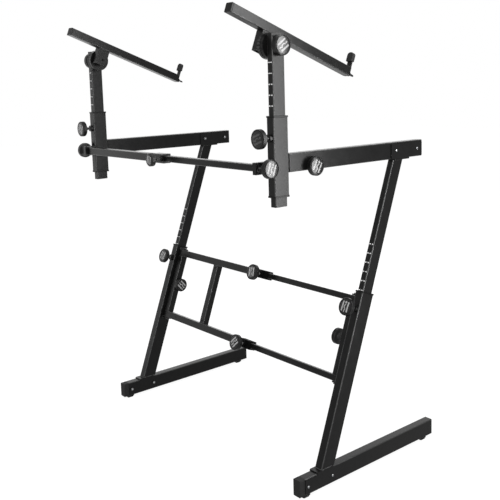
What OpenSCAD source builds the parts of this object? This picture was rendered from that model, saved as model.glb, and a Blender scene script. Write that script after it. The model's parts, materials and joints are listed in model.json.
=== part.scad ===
// Two-tier keyboard stand with Z-shaped side frames.
// The two side frames stand on the floor, joined by two telescoping crossbars.
// A second tier plugs into the open ends of the lower arms and carries two tilting arms.
// X runs across the stand, +Y points away from the player and +Z up. Units are millimetres.

/* [Stand] */
// Distance between the centre planes of the two side frames
frame_span = 866; // [820:1:920]
// Depth of a foot bar on the floor, end caps included
foot_depth = 534; // [510:1:580]
// Height of the lower tier's bearing surface above the floor
tier_height = 882.6; // [860:0.1:900]
// Lean of the legs from upright, in degrees
leg_lean = 20.13; // [18:0.01:22]
// Distance of the leg's foot in front of the foot bar's middle
leg_foot_y = 175.7; // [165:0.1:180]
// Reach of a lower arm behind the foot bar's middle, towards the player
arm_back = 216.2; // [205:0.1:225]
// Reach of a lower arm in front of the foot bar's middle
arm_front = 278.6; // [270:0.1:300]

/* [Tubes] */
// Height of the flat tube used for feet, legs, arms and sleeves
tube_h = 45; // [43:0.5:48]
// Width of the same tube, across the stand
tube_w = 25; // [24:0.5:28]
// Height of the flat tube that slides inside it
inner_h = 37; // [34:0.5:38]
// Width of the sliding tube
inner_w = 19; // [17:0.5:19]
// Wall of every flat tube
tube_wall = 1.5; // [1.2:0.1:2]
// Outside corner radius of the flat tubes
tube_corner = 2.5; // [2.2:0.1:4]
// Side of the square crossbar tube
bar_s = 22; // [21:0.5:24]
// Side of the square tube that slides inside the crossbar
bar_inner_s = 17; // [15:0.5:17]
// Wall of the square tubes
bar_wall = 1.5; // [1.2:0.1:2]
// Outside corner radius of the square tubes
bar_corner = 2; // [1.8:0.1:3]

/* [Lower frame] */
// Height of the rubber pads under the foot bars
pad_h = 6; // [4:0.5:10]
// Length of a rubber pad along the foot bar
pad_len = 26; // [18:1:36]
// Distance from the foot bar's end cap tip to the middle of the front pad
pad_front_inset = 24; // [22:1:40]
// Distance from the foot bar's rear tip to the middle of the rear pad
pad_back_inset = 39; // [26:1:50]
// Length of the foot bar's front cap that shows past the tube
front_cap_len = 18; // [8:1:24]
// Thickness of the thin caps on the other tube ends
cap_t = 2; // [1:0.5:4]
// Depth to which a cap's plug enters its tube
plug_depth = 22; // [12:1:30]
// Length of outer leg above the upper crossbar's centre line
rim_over_bar = 20; // [20:0.5:40]
// Length of inner leg held inside the outer leg
leg_overlap = 320; // [280:1:325]
// Height of the drain hole in the inner leg above the outer leg's rim
drain_over_rim = 281; // [200:1:330]
// Thickness of the saddle plates that hold foot bar and arm
saddle_t = 2; // [1.5:0.5:3]
// Thickness of the saddle's bridge between bar and leg
bridge_t = 3; // [2:0.5:4]
// Length of saddle past the leg's centre line on the short side
saddle_short = 42; // [38:1:50]
// Length of bridge past the leg's centre line on the long side
bridge_long = 31; // [27:1:36]
// Strip of the bar's side left bare beyond the saddle plates
saddle_bare = 5; // [2:0.5:10]
// Distance of the saddle's inner bolt from the leg's centre line
bolt_short = 23; // [16:1:30]
// Distance of the saddle's outer bolt from the leg's centre line
bolt_long = 64; // [52:1:68]

/* [Crossbars] */
// Height of the lower crossbar, measured up the leg
lower_bar_u = 250.5; // [230:0.5:300]
// Height of the upper crossbar, measured up the leg
upper_bar_u = 467; // [420:0.5:470]
// Offset of the crossbars and hinge tubes behind the leg's centre line
bar_setback = 1.5; // [0:0.5:4]
// Width of a hinge tube across the stand
hinge_w = 20; // [18:0.5:21]
// Depth of a hinge tube
hinge_d = 23; // [20:0.5:26]
// Clear space between a leg and its hinge tube
hinge_space = 5.7; // [5:0.1:9]
// End of the outer crossbars past the middle of the stand
bar_reach = 51; // [40:1:70]
// Length of inner crossbar held inside the outer one
bar_overlap = 250; // [200:1:255]
// Length of the plastic collars on the outer crossbars
collar_len = 52; // [44:1:70]
// Wall of the plastic collars
collar_wall = 1.8; // [1.5:0.1:2.5]
// Distance of the brace between the crossbars from the middle of the stand
brace_x = 201.5; // [160:0.5:240]
// Distance of the drain hole in the lower crossbar from the middle of the stand
drain_x = 345; // [260:1:360]
// Thickness of the hinge ears on the legs
ear_t = 4; // [3:0.5:5]

/* [Second tier] */
// Gap between a lower arm's open end and the post sleeve
sleeve_gap = 2.7; // [1:0.1:6]
// Length of the post sleeves
sleeve_len = 183.6; // [170:0.1:190]
// Distance of the drain hole in the sleeve's inner face below its upper end
drain_under_rim = 14; // [10:1:20]
// Drop of the sleeve's lower end below the lower arm's centre line
sleeve_drop = 75.4; // [65:0.1:85]
// Length of the stub that plugs into a lower arm
stub_len = 165; // [140:1:180]
// Clearance of that stub inside the arm, on each side
stub_fit = 0.5; // [0.3:0.1:0.8]
// Height of the tilt pivots above the lower arms' centre line
pivot_rise = 274; // [250:1:290]
// Length of a sliding post
post_len = 404.8; // [380:0.1:420]
// Height of the sliding post's top above the tilt pivot
post_top = 28; // [20:1:32]
// End of the second crossbar's outer tube past the middle of the stand
tier_reach = 20; // [20:1:70]
// Distance of the second crossbar in front of the post sleeves' face
tier_bar_out = 19.7; // [15:0.1:26]
// Height of the second crossbar above the lower arms' centre line, negative when below
tier_bar_rise = -8; // [-20:1:10]
// Depth of the crossbar bracket, away from the sleeve
bracket_deep = 39; // [34:1:46]
// Height of the crossbar bracket
bracket_tall = 29; // [26:1:34]
// Width of the crossbar bracket across the stand
bracket_wide = 12; // [8:1:14]
// Sheet thickness of the crossbar bracket
bracket_sheet = 3; // [2:0.5:4]

/* [Tilt arms] */
// Slope of the tilting arms, in degrees
tilt_slope = 21.1; // [5:0.1:30]
// Length of a tilting arm's tube
tilt_len = 406; // [380:1:440]
// Length of tilting arm on the high side of its pivot
tilt_high = 122; // [110:1:140]
// Width of a tilting arm
tilt_w = 24; // [22:0.5:26]
// Height of a tilting arm
tilt_h = 23; // [20:0.5:26]
// Height of the tilting arm's centre line above its pivot, square to the arm
tilt_offset = 44; // [43.5:0.5:52]
// Thickness of the upper end cap
high_cap_t = 4.4; // [2:0.2:8]
// Diameter of the toothed clutch discs
disc_d = 63; // [56:1:64]
// Thickness of one clutch disc
disc_t = 9.7; // [8:0.1:11]
// Gap between the two toothed faces
disc_gap = 0.4; // [0.3:0.1:1]
// Number of notches in a clutch disc
disc_notches = 30; // [18:1:40]
// Length of the tilt bracket towards the player
tilt_back = 14; // [12:1:18]
// Length of the tilt bracket away from the player
tilt_front = 23; // [20:1:36]
// Depth of the tilt bracket below its pivot
tilt_low = 17.5; // [15:0.5:24]
// Sheet thickness of the tilt bracket
tilt_sheet = 2; // [1.5:0.5:3]
// Thickness of the end stop plate
stop_t = 3; // [2:0.5:4]
// Height of the end stop's pad top above the tilting arm's top face
stop_rise = 40; // [34:1:60]
// Width of the end stop plate
stop_w = 16; // [12:0.5:17]
// Width of the end stop's rubber pad
stop_pad_w = 20; // [19:0.5:24]
// Height of the end stop's rubber pad
stop_pad_h = 24; // [16:1:28]
// Thickness of the end stop's rubber pad
stop_pad_t = 10; // [8:0.5:14]
// Length of the thumb screw outside the end stop plate
wing_t = 20; // [8:1:24]
// Drop of the end stop's screw below the tilting arm's centre line
stop_screw_drop = 4; // [0:0.5:5]

/* [Knobs] */
// Diameter of the large clamp knobs
knob_d = 47; // [42:1:50]
// Diameter of the small clamp knob on the second crossbar
small_knob_d = 36; // [30:1:40]
// Thickness of a knob's drum
knob_t = 10.5; // [9:0.5:12]
// Chamfer on the drum's edges
knob_edge = 1.6; // [1:0.1:3]
// Length of the tapered hub behind the drum
hub_len = 12; // [8:1:14]
// Radius of the hub where it meets the drum
hub_r = 12; // [9:0.5:14]
// Radius of the hub's narrow end
hub_tip_r = 7; // [6:0.5:9]
// Radius of the threaded stud
stud_r = 4; // [3.5:0.5:4]
// Reach of the long knobs from their tube to the drum's face
long_reach = 41.5; // [38:0.5:46]
// Reach of the knobs beside the lower arms
short_reach = 19.5; // [18:0.5:24]
// Height of a weld nut on a tube
boss_h = 8; // [6:0.5:12]
// Height of the low weld nut on a lower arm
low_boss_h = 4; // [3:0.5:5]
// Radius of a weld nut
boss_r = 9.5; // [8:0.5:10]
// Drop of the leg knob below the upper crossbar's centre line
leg_knob_drop = 24; // [20:0.5:60]
// Height of the fold knob above the point midway between the crossbars
fold_knob_rise = 0; // [-40:1:40]
// Reach of the fold knob from the hinge tube
fold_reach = 25.7; // [20:0.1:32]
// Height of the post knob above the lower arms' centre line
post_knob_rise = 61; // [50:1:75]
// Distance of the arm knob from the lower arm's open end
arm_knob_inset = 73.6; // [50:0.1:90]
// Drop of the arm knob below the lower arm's centre line
arm_knob_drop = 13; // [8:0.5:13]
// Reach of the second crossbar's end knobs from their bracket
end_reach = 35; // [32:0.5:40]
// Reach of the tilt knobs from the post
tilt_reach = 18.5; // [16:0.5:24]
// Distance of the crossbar clamp knobs past the middle of the stand
clamp_x = 26; // [20:1:30]

/* [Clearances] */
// Radial play of a stud or bolt in its hole
play = 0.05; // [0.03:0.01:0.1]
// Sliding clearance of an inner tube in its bush
slide_fit = 0.3; // [0.25:0.05:0.4]
// Gap between a stud's tip and the tube that it presses
tip_gap = 0.3; // [0.25:0.05:0.5]
// Gap between pieces seated on each other
seat = 0.1; // [0.05:0.01:0.2]

/* [Hidden] */
$fn = 48;
steel = "#1b1c1e";
plastic = "#101112";
rubber = "#0b0b0c";
zinc = "#b4b7bb";
face_grey = "#2a2b2d";

frame_x = frame_span / 2;
foot_z = pad_h + tube_h / 2;
arm_z = tier_height - tube_h / 2;
leg_len = (arm_z - foot_z) / cos(leg_lean);
arm_leg_y = leg_foot_y - leg_len * sin(leg_lean);
foot_tip = foot_depth / 2;
foot_end = foot_tip - front_cap_len;
leg_in_x = frame_x - tube_w / 2;
hinge_x = leg_in_x - hinge_space - hinge_w / 2;
bar_end_x = hinge_x + hinge_w / 2;
sleeve_y = arm_front + sleeve_gap + tube_h / 2;
sleeve_top_z = arm_z - sleeve_drop + sleeve_len;
pivot_z = arm_z + pivot_rise;
post_in_x = frame_x - inner_w / 2;
tilt_x = post_in_x - 2 * disc_t - disc_gap - 2 * seat - tilt_w / 2;
tier_bar_y = sleeve_y + tube_h / 2 + tier_bar_out;
tier_bar_z = arm_z + tier_bar_rise;
bracket_x = leg_in_x - 8.5;
bar_start_x = bar_overlap - bar_reach;
leg_rim = upper_bar_u + rim_over_bar;
leg_knob_u = upper_bar_u - leg_knob_drop;
fold_knob_u = (lower_bar_u + upper_bar_u) / 2 + fold_knob_rise;
far_reach = 2 * tier_height;

// The farthest point on the player's side and on the other side put the origin midway
front_y = sleeve_y + (tilt_high + high_cap_t) * cos(tilt_slope)
    - (tilt_offset - tilt_h / 2) * sin(tilt_slope);
middle_y = (front_y - foot_tip) / 2;

drain_r = 2;
brace_hole_r = 3;
brace_hole_inset = 9;
pin_r = 4;
pin_head_r = 6.5;
pin_head_h = 3.2;
bolt_r = 3;
bolt_head_r = 4.6;
bolt_head_h = 2.4;
nut_r = 5.8;
nut_h = 4;
lip = 1;
lip_h = 4.5;
bush_len = 34;
notch_w = 2.4;
notch_depth = 2;
screw_r = 3;
screw_len = 18;
wing_r = 6;
wing_tip_r = 2.5;
label_rim = 2.5;
label_sink = 0.6;

// Shared shapes

module round_rect(w, h, r) {
    square([w - 2 * r, h], center = true);
    square([w, h - 2 * r], center = true);
    for (i = [-1, 1], j = [-1, 1])
        translate([i * (w / 2 - r), j * (h / 2 - r)]) circle(r);
}

// A straight tube along +Z, w across X and h across Y
module tube(w, h, len, wall, r) {
    linear_extrude(len) difference() {
        round_rect(w, h, r);
        round_rect(w - 2 * wall, h - 2 * wall, r - wall);
    }
}

module flat_tube(len) {
    tube(tube_w, tube_h, len, tube_wall, tube_corner);
}

module inner_tube(len) {
    tube(inner_w, inner_h, len, tube_wall, tube_corner);
}

module square_tube(side, len) {
    tube(side, side, len, bar_wall, bar_corner);
}

// A plug that closes a tube: the flange sits on the rim, the stem goes inside, towards -Z
module tube_plug(w, h, wall, r, flange, depth) {
    linear_extrude(flange) round_rect(w, h, r);
    translate([0, 0, -depth])
        linear_extrude(depth + seat)
            round_rect(w - 2 * wall - 2 * seat, h - 2 * wall - 2 * seat, 0.9);
}

// A bush between a flat tube and the tube that slides in it, its lip facing +Z
module bush() {
    difference() {
        union() {
            translate([0, 0, seat]) linear_extrude(lip_h)
                round_rect(tube_w + 2 * lip, tube_h + 2 * lip, tube_corner);
            translate([0, 0, -bush_len])
                linear_extrude(bush_len + lip_h)
                    round_rect(
                        tube_w - 2 * tube_wall - 2 * seat,
                        tube_h - 2 * tube_wall - 2 * seat,
                        0.9);
        }
        translate([0, 0, -bush_len - 1])
            linear_extrude(bush_len + lip_h + 2)
                round_rect(inner_w + 2 * slide_fit, inner_h + 2 * slide_fit, tube_corner);
    }
}

// A clamp knob with its stud, seated at z = 0 and facing +Z
module knob(d, reach, grip, boss = 0, t = knob_t, face_r = hub_tip_r) {
    back = reach - t;
    hub = max(boss + 0.8, back - hub_len);
    rotate_extrude() polygon([
        [0, -grip],
        [stud_r, -grip],
        [stud_r, hub],
        [face_r, hub],
        [hub_r, back],
        [d / 2 - knob_edge, back],
        [d / 2, back + knob_edge],
        [d / 2, reach - knob_edge],
        [d / 2 - knob_edge, reach],
        [d / 2 - knob_edge - label_rim, reach],
        [d / 2 - knob_edge - label_rim, reach - label_sink],
        [0, reach - label_sink]
    ]);
}

// A weld nut on a tube's face, at z = 0 and facing +Z
module boss(h = boss_h, r = boss_r) {
    cylinder(r = r, h = h);
}

module stud_hole(depth, h = boss_h) {
    translate([0, 0, -depth]) cylinder(r = stud_r + play, h = depth + h + 1);
}

// A bolt along X through a saddle, its domed head on the outer side
module saddle_bolt() {
    half = tube_w / 2 + saddle_t + seat;
    rotate([0, 90, 0]) {
        translate([0, 0, -half - nut_h]) cylinder(r = bolt_r, h = 2 * half + nut_h + 1);
        translate([0, 0, half]) intersection() {
            cylinder(r = bolt_head_r, h = bolt_head_h);
            translate([0, 0, -bolt_head_r]) sphere(r = bolt_head_r + bolt_head_h);
        }
        translate([0, 0, -half - nut_h]) cylinder(r = nut_r, h = nut_h, $fn = 6);
    }
}

// Places

module in_stand() {
    translate([0, -middle_y, 0]) children();
}

// One side of the stand: 1 is the far side at +X, -1 the near side at -X
module on_side(side) {
    in_stand() {
        if (side > 0) children();
        else mirror([1, 0, 0]) children();
    }
}

// The leg's own frame: Z runs up the leg, Y square to it and away from the player
module on_leg() {
    translate([0, leg_foot_y, foot_z]) rotate([leg_lean, 0, 0]) children();
}

// The tilting arm's own frame: the pivot is the origin, Y runs up the slope
module on_tilt() {
    translate([0, sleeve_y, pivot_z]) rotate([tilt_slope, 0, 0]) children();
}

// Foot

module foot_bar(side) {
    color(steel) on_side(side) difference() {
        translate([frame_x, cap_t - foot_tip, foot_z]) rotate([-90, 0, 0])
            flat_tube(foot_end + foot_tip - cap_t);
        for (y = [leg_foot_y - bolt_short, leg_foot_y + bolt_long])
            translate([frame_x, y, foot_z]) rotate([0, 90, 0])
                cylinder(r = bolt_r + play, h = 2 * tube_w, center = true);
    }
}

module foot_pad(y) {
    translate([frame_x, y, 0]) {
        linear_extrude(pad_h - seat) round_rect(tube_w - 2, pad_len - 6, 3);
        translate([0, 0, pad_h / 2])
            linear_extrude(pad_h / 2 - seat) round_rect(tube_w, pad_len, 3);
    }
}

module foot_rubbers(side) {
    color(rubber) on_side(side) {
        difference() {
            translate([frame_x, foot_end + seat, foot_z]) rotate([-90, 0, 0])
                tube_plug(tube_w, tube_h, tube_wall, tube_corner, front_cap_len - seat,
                    plug_depth);
            translate([frame_x, leg_foot_y + bolt_long, foot_z]) rotate([0, 90, 0])
                cylinder(r = bolt_r + play, h = tube_w, center = true);
        }
        translate([frame_x, cap_t - foot_tip - seat, foot_z]) rotate([90, 0, 0])
            tube_plug(tube_w, tube_h, tube_wall, tube_corner, cap_t - seat, plug_depth);
        foot_pad(foot_tip - pad_front_inset);
        foot_pad(pad_back_inset - foot_tip);
    }
}

module foot_bolts(side) {
    color(zinc) on_side(side)
        for (y = [leg_foot_y - bolt_short, leg_foot_y + bolt_long])
            translate([frame_x, y, foot_z]) saddle_bolt();
}

// Leg

// The saddle: two side plates on a bar and a bridge between the bar and the leg.
// It is drawn with the bar's centre line at the origin and the leg above it,
// the bridge on top and the long side towards +Y.
module saddle(long) {
    high = tube_h / 2 + seat;
    low = -tube_h / 2 + saddle_bare;
    for (i = [-1, 1])
        translate([i * (tube_w / 2 + seat + saddle_t / 2), 0, 0]) difference() {
            translate([-saddle_t / 2, -saddle_short, low])
                cube([saddle_t, saddle_short + long, high + bridge_t - low]);
            translate([-saddle_t, bridge_long, high - 3])
                cube([2 * saddle_t, long, bridge_t + 4]);
            translate([-saddle_t, -saddle_short - 1, high])
                cube([2 * saddle_t, saddle_short - bolt_short + 1, bridge_t + 1]);
            for (y = [-bolt_short, bolt_long])
                translate([-saddle_t, y, 0]) rotate([0, 90, 0])
                    cylinder(r = bolt_r + play, h = 2 * saddle_t);
        }
    translate([-tube_w / 2 - seat - saddle_t, -bolt_short, high])
        cube([tube_w + 2 * seat + 2 * saddle_t, bolt_short + bridge_long, bridge_t]);
}

// The half space above a level, to cut a leaning tube square to the floor
module above(z) {
    translate([0, -far_reach, z]) cube([2 * frame_x, 2 * far_reach, far_reach]);
}

module hinge_ear(u, size, dir) {
    translate([
        hinge_x - hinge_w / 2 + 2,
        -bar_setback - size / 2 + 1,
        u + dir * (size / 2 + tip_gap) - (dir < 0 ? ear_t : 0)
    ]) difference() {
        cube([leg_in_x - hinge_x + hinge_w / 2 - 1, size - 2, ear_t]);
        translate([hinge_w / 2 - 2, size / 2 - 1, -1]) cylinder(r = pin_r + play, h = ear_t + 2);
    }
}

module leg_outer(side) {
    bar = side > 0 ? bar_s : bar_inner_s;
    color(steel) on_side(side) {
        intersection() {
            above(foot_z + tube_h / 2 + seat + bridge_t - 0.5);
            on_leg() translate([frame_x, 0, 0]) difference() {
                union() {
                    flat_tube(leg_rim);
                    translate([0, tube_h / 2 - 0.5, leg_knob_u]) rotate([-90, 0, 0])
                        boss(boss_h + 0.5);
                }
                translate([0, tube_h / 2, leg_knob_u]) rotate([-90, 0, 0])
                    stud_hole(tube_h / 4);
                translate([-tube_w / 2, -bar_setback, fold_knob_u]) rotate([0, -90, 0])
                    stud_hole(tube_w / 4);
            }
        }
        translate([frame_x, leg_foot_y, foot_z]) saddle(foot_end - leg_foot_y);
        on_leg() {
            hinge_ear(upper_bar_u, bar, 1);
            hinge_ear(lower_bar_u, bar, -1);
        }
    }
}

module leg_bush(side) {
    color(plastic) on_side(side) on_leg()
        translate([frame_x, 0, leg_rim]) bush();
}

module leg_inner(side) {
    start = leg_rim - leg_overlap;
    color(steel) on_side(side) {
        difference() {
            on_leg() translate([frame_x, 0, start]) difference() {
                inner_tube(leg_len - start + tube_h);
                translate([0, inner_h / 4, leg_overlap + drain_over_rim])
                    rotate([-90, 0, 0]) cylinder(r = drain_r, h = inner_h / 2);
            }
            above(arm_z - tube_h / 2 - seat - bridge_t + 0.5);
        }
        translate([frame_x, arm_leg_y, arm_z]) rotate([180, 0, 0])
            saddle(arm_back - cap_t + arm_leg_y);
    }
}

// Lower arm

module lower_arm(side) {
    color(steel) on_side(side) difference() {
        union() {
            translate([frame_x, cap_t - arm_back, arm_z]) rotate([-90, 0, 0])
                flat_tube(arm_back + arm_front - cap_t);
            translate([frame_x + tube_w / 2 - 0.5, arm_front - arm_knob_inset,
                arm_z - arm_knob_drop]) rotate([0, 90, 0]) boss(low_boss_h + 0.5, 8);
        }
        translate([frame_x + tube_w / 2, arm_front - arm_knob_inset, arm_z - arm_knob_drop])
            rotate([0, 90, 0]) stud_hole(tube_w / 4, low_boss_h);
        for (y = [arm_leg_y + bolt_short, arm_leg_y - bolt_long])
            translate([frame_x, y, arm_z]) rotate([0, 90, 0])
                cylinder(r = bolt_r + play, h = 2 * tube_w, center = true);
    }
}

module arm_cap(side) {
    color(plastic) on_side(side)
        translate([frame_x, cap_t - arm_back - seat, arm_z]) rotate([90, 0, 0])
            tube_plug(tube_w, tube_h, tube_wall, tube_corner, cap_t - seat, plug_depth / 2);
}

module arm_bolts(side) {
    color(zinc) on_side(side)
        for (y = [arm_leg_y + bolt_short, arm_leg_y - bolt_long])
            translate([frame_x, y, arm_z]) saddle_bolt();
}

// Hinge tubes and crossbars

module hinge_tube(side) {
    bar = side > 0 ? bar_s : bar_inner_s;
    low = lower_bar_u + bar / 2 + seat;
    high = upper_bar_u - bar / 2 - seat;
    pin_out = bar / 2 + tip_gap + ear_t + seat;
    color(steel) on_side(side) on_leg() translate([hinge_x, -bar_setback, 0]) {
        difference() {
            translate([0, 0, low]) tube(hinge_w, hinge_d, high - low, bar_wall, bar_corner);
            translate([0, 0, fold_knob_u]) rotate([0, 90, 0])
                cylinder(r = stud_r + play, h = 2 * hinge_w, center = true);
        }
        translate([0, 0, upper_bar_u - bar]) cylinder(r = pin_r, h = bar + pin_out);
        translate([0, 0, upper_bar_u + pin_out]) cylinder(r = pin_head_r, h = pin_head_h);
        translate([0, 0, lower_bar_u - pin_out]) cylinder(r = pin_r, h = bar + pin_out);
        translate([0, 0, lower_bar_u - pin_out - pin_head_h])
            cylinder(r = pin_head_r, h = pin_head_h);
    }
}

module pin_hole() {
    translate([hinge_x, -bar_setback, 0])
        cylinder(r = pin_r + play, h = 2 * bar_s, center = true);
}

// The outer crossbars start at the far frame and end past the middle, with a brace between
module crossbar_outers() {
    color(steel) in_stand() on_leg() {
        for (u = [lower_bar_u, upper_bar_u])
            translate([0, 0, u]) difference() {
                translate([-bar_reach, -bar_setback, 0]) rotate([0, 90, 0])
                    square_tube(bar_s, bar_reach + bar_end_x);
                pin_hole();
                translate([-clamp_x, bar_s / 2 - bar_setback, 0]) rotate([-90, 0, 0])
                    stud_hole(bar_s / 4);
                if (u == lower_bar_u)
                    translate([drain_x, 0, 0]) rotate([-90, 0, 0]) cylinder(r = drain_r, h = bar_s);
            }
        difference() {
            translate([brace_x, -bar_setback, lower_bar_u + bar_s / 2 + seat])
                square_tube(bar_s, upper_bar_u - lower_bar_u - bar_s - 2 * seat);
            for (u = [lower_bar_u + bar_s / 2 + brace_hole_inset,
                upper_bar_u - bar_s / 2 - brace_hole_inset])
                translate([brace_x, 0, u]) rotate([-90, 0, 0])
                    cylinder(r = brace_hole_r, h = bar_s);
        }
    }
}

module crossbar_inners() {
    color(steel) in_stand() on_leg() for (u = [lower_bar_u, upper_bar_u])
        translate([0, 0, u]) difference() {
            translate([-bar_end_x, -bar_setback, 0]) rotate([0, 90, 0])
                square_tube(bar_inner_s, bar_end_x + bar_start_x);
            mirror([1, 0, 0]) pin_hole();
        }
}

// A collar on an outer crossbar that ends at -reach, open towards +X, its clamp nut facing +Y
module collar(reach, nut_r, nut_h, past) {
    out = bar_s + 2 * seat + 2 * collar_wall;
    difference() {
        union() {
            translate([-reach - collar_wall - seat, 0, 0]) rotate([0, 90, 0])
                linear_extrude(collar_len) round_rect(out, out, bar_corner);
            translate([-past, out / 2 - 0.5, 0]) rotate([-90, 0, 0])
                boss(nut_h + 0.5, nut_r);
        }
        translate([-reach - seat, 0, 0]) rotate([0, 90, 0])
            linear_extrude(collar_len)
                round_rect(bar_s + 2 * seat, bar_s + 2 * seat, bar_corner);
        translate([-reach - 2 * collar_wall - 1, 0, 0]) rotate([0, 90, 0])
            linear_extrude(2 * collar_wall + 2)
                round_rect(bar_inner_s + 2 * slide_fit, bar_inner_s + 2 * slide_fit, bar_corner);
        translate([-past, out / 2, 0]) rotate([-90, 0, 0]) stud_hole(out / 4, nut_h);
    }
}

collar_face = bar_s / 2 + seat + collar_wall;
collar_nut_h = 6;
small_nut_r = 7.5;

module crossbar_collars() {
    color(plastic) in_stand() on_leg() for (u = [lower_bar_u, upper_bar_u])
        translate([0, -bar_setback, u]) collar(bar_reach, boss_r, collar_nut_h, clamp_x);
}

module clamp_knob(u) {
    color(plastic) in_stand() on_leg()
        translate([-clamp_x, collar_face - bar_setback, u]) rotate([-90, 0, 0])
            knob(knob_d, long_reach - 2, collar_face - bar_inner_s / 2 - tip_gap, collar_nut_h);
}

// Second tier

// The bracket on a post sleeve that takes the end of the second crossbar
module bar_bracket() {
    base_y = sleeve_y + tube_h / 2 - 0.5;
    low_z = tier_bar_z - bracket_tall / 2;
    difference() {
        translate([bracket_x, base_y, low_z])
            cube([bracket_wide, bracket_deep + 0.5, bracket_tall]);
        translate([bracket_x + bracket_sheet, base_y + bracket_sheet + 0.5,
            low_z + bracket_sheet])
            cube([bracket_wide, bracket_deep - 2 * bracket_sheet,
                bracket_tall - 2 * bracket_sheet]);
        translate([bracket_x - 1, tier_bar_y, tier_bar_z]) rotate([0, 90, 0])
            cylinder(r = stud_r + play, h = bracket_wide);
    }
}

module post_sleeve(side) {
    low_z = arm_z - sleeve_drop;
    stub_h = tube_h - 2 * tube_wall - 2 * stub_fit;
    stub_w = tube_w - 2 * tube_wall - 2 * stub_fit;
    knob_z = arm_z + post_knob_rise;
    color(steel) on_side(side) {
        difference() {
            union() {
                translate([frame_x, sleeve_y, low_z]) flat_tube(sleeve_len);
                translate([frame_x, sleeve_y + tube_h / 2 - 0.5, knob_z]) rotate([-90, 0, 0])
                    boss(boss_h + 0.5);
            }
            translate([frame_x, sleeve_y + tube_h / 2, knob_z]) rotate([-90, 0, 0])
                stud_hole(tube_h / 4);
            translate([frame_x, sleeve_y, sleeve_top_z - drain_under_rim]) rotate([0, -90, 0])
                cylinder(r = drain_r, h = tube_w);
        }
        translate([frame_x, sleeve_y - tube_h / 2 + 0.5, arm_z]) rotate([90, 0, 0])
            tube(stub_w, stub_h, stub_len, tube_wall, tube_corner - 0.5);
        bar_bracket();
    }
}

module sleeve_bushes(side) {
    low_z = arm_z - sleeve_drop;
    color(plastic) on_side(side) translate([frame_x, sleeve_y, 0]) {
        translate([0, 0, sleeve_top_z]) bush();
        translate([0, 0, low_z]) mirror([0, 0, 1]) bush();
    }
}

module post_inner(side) {
    top_z = pivot_z + post_top;
    color(steel) on_side(side) translate([frame_x, sleeve_y, top_z - post_len]) difference() {
        inner_tube(post_len);
        translate([0, 0, post_len - post_top]) rotate([0, 90, 0])
            cylinder(r = stud_r + play, h = 2 * tube_w, center = true);
    }
}

// A clutch disc with notches in the face that looks along +Z
module clutch_disc() {
    difference() {
        cylinder(r = disc_d / 2, h = disc_t, $fn = 96);
        for (i = [0 : disc_notches - 1])
            rotate(i * 360 / disc_notches)
                translate([disc_d * 0.36, -notch_w / 2, disc_t - notch_depth])
                    cube([disc_d / 4, notch_w, notch_depth + 1]);
        translate([0, 0, -1]) cylinder(r = stud_r + play, h = disc_t + 2);
    }
}

module post_disc(side) {
    color(plastic) on_side(side) translate([post_in_x - seat, sleeve_y, pivot_z])
        rotate([0, -90, 0]) clutch_disc();
}

module tilt_bracket(side) {
    top = tilt_offset - tilt_h / 2 - seat;
    round_r = 12;
    color(steel) on_side(side) on_tilt() {
        for (x = [tilt_x - tilt_w / 2, tilt_x + tilt_w / 2 - tilt_sheet])
            translate([x, 0, 0]) difference() {
                rotate([90, 0, 90]) linear_extrude(tilt_sheet) union() {
                    translate([-tilt_back, round_r - tilt_low])
                        square([tilt_back + tilt_front, top + tilt_low - round_r]);
                    translate([round_r - tilt_back, -tilt_low])
                        square([tilt_back + tilt_front - round_r, round_r + 1]);
                    translate([round_r - tilt_back, round_r - tilt_low]) circle(round_r);
                }
                rotate([0, 90, 0]) translate([0, 0, -1])
                    cylinder(r = stud_r + play, h = tilt_sheet + 2);
            }
        translate([tilt_x - tilt_w / 2, -tilt_back, top - tilt_sheet])
            cube([tilt_w, tilt_back + tilt_front, tilt_sheet]);
        translate([tilt_x - tilt_w / 2, tilt_front - tilt_sheet, -tilt_low])
            cube([tilt_w, tilt_sheet, top + tilt_low]);
        translate([tilt_x + tilt_w / 2 - tilt_sheet - boss_h, 0, 0]) rotate([0, 90, 0])
            difference() {
                cylinder(r = boss_r, h = boss_h + 0.5);
                translate([0, 0, -1]) cylinder(r = stud_r + play, h = boss_h + 3);
            }
    }
    color(plastic) on_side(side) on_tilt()
        translate([tilt_x + tilt_w / 2 + seat, 0, 0]) rotate([0, 90, 0]) clutch_disc();
}

module tilt_arm(side) {
    color(steel) on_side(side) on_tilt()
        translate([tilt_x, tilt_high - tilt_len, tilt_offset]) rotate([-90, 0, 0])
            tube(tilt_w, tilt_h, tilt_len, bar_wall, bar_corner);
}

module tilt_arm_caps(side) {
    low = tilt_high - tilt_len;
    color(plastic) on_side(side) on_tilt() translate([tilt_x, 0, tilt_offset]) {
        translate([0, tilt_high + seat, 0]) rotate([-90, 0, 0])
            tube_plug(tilt_w, tilt_h, bar_wall, bar_corner, high_cap_t - seat, plug_depth);
        difference() {
            translate([0, low - seat, 0]) rotate([90, 0, 0])
                tube_plug(tilt_w, tilt_h, bar_wall, bar_corner, cap_t - seat, plug_depth);
            translate([0, low - cap_t - 1, -stop_screw_drop]) rotate([-90, 0, 0])
                cylinder(r = screw_r + play, h = plug_depth + cap_t - 2);
        }
    }
}

// End stop: a plate on the tilting arm's lower end, its pad and its screw

stop_y = tilt_high - tilt_len - cap_t - seat;
stop_top = tilt_offset + tilt_h / 2 + stop_rise;
stop_low = tilt_offset - stop_screw_drop - 7.5;

module stop_plate(side) {
    plate_top = stop_top - stop_pad_h / 2;
    color(steel) on_side(side) on_tilt() difference() {
        translate([tilt_x - stop_w / 2, stop_y - stop_t, stop_low])
            cube([stop_w, stop_t, plate_top - stop_low]);
        translate([tilt_x, stop_y + 1, tilt_offset - stop_screw_drop]) rotate([90, 0, 0])
            cylinder(r = screw_r + play, h = stop_t + 2);
    }
}

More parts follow.
